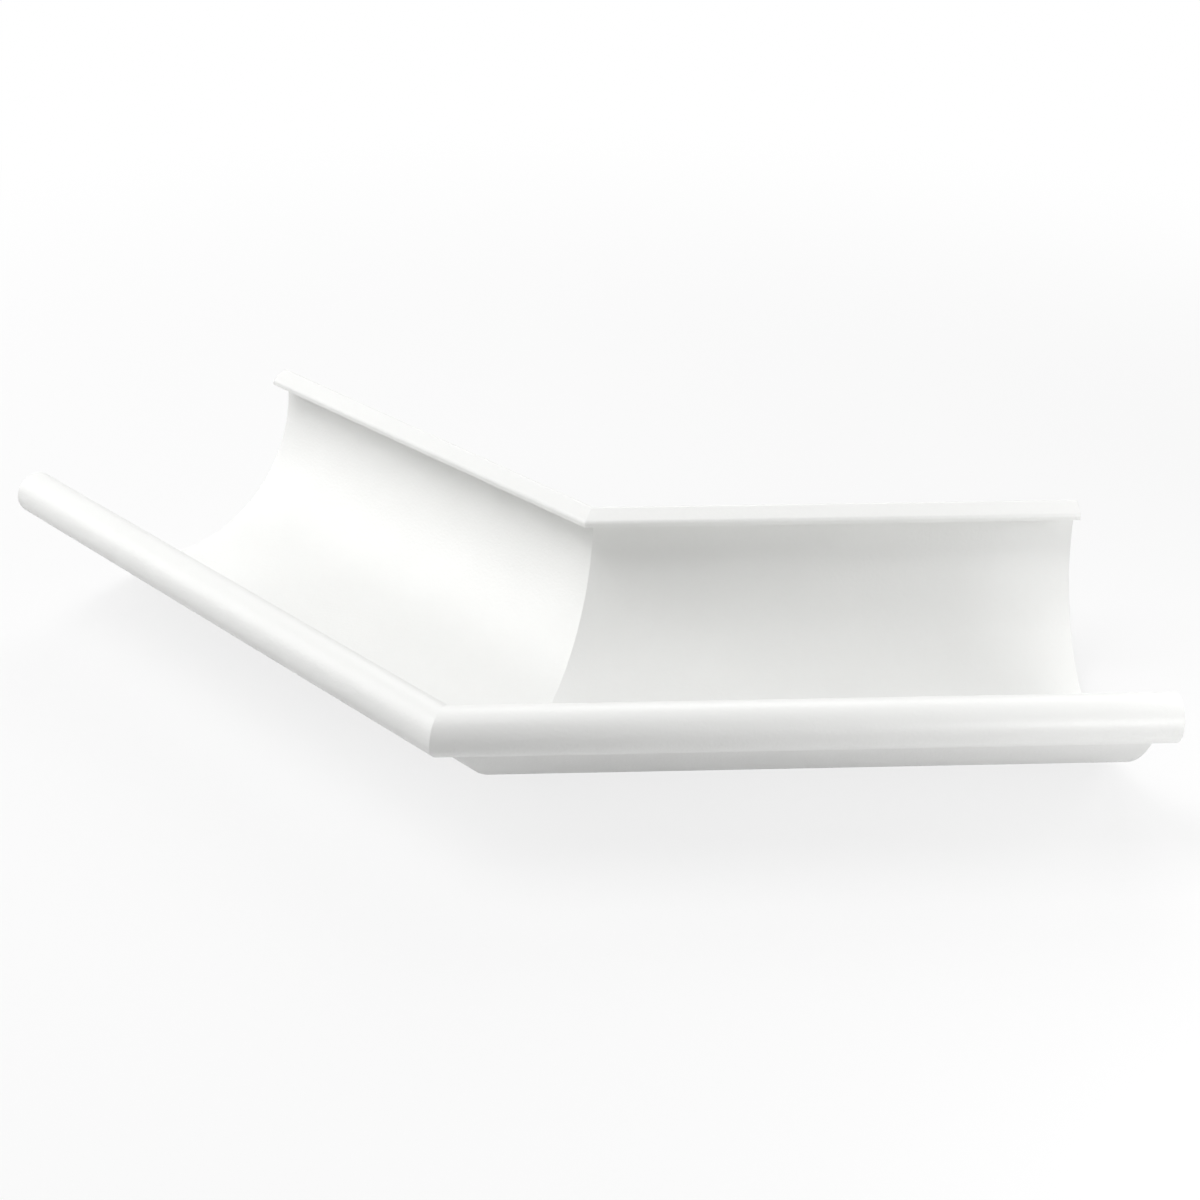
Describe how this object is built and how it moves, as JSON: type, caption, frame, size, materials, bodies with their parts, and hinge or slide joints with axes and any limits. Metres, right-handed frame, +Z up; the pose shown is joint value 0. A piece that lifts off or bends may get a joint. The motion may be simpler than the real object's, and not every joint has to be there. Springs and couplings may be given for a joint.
{
  "type": "gutter external angle",
  "caption": "Half-round roof gutter corner piece: two equal trough legs at 135 degrees with a rolled front bead and a folded rear rim, turning the gutter round an outside corner.",
  "frame": {"origin": "under the middle of the piece's bounding box, at the level of the trough's lowest line", "axes": "+Z up; the mitre lies in the plane x = 0; -Y faces out from the building, where the bead is, and both legs run back towards +Y at 22.5 degrees from the X axis"},
  "size_m": [0.4674, 0.2286, 0.0687],
  "materials": {
    "painted_steel": "satin"
  },
  "bodies": {
    "root": {"gutter_angle": "painted_steel"}
  },
  "joints": []
}
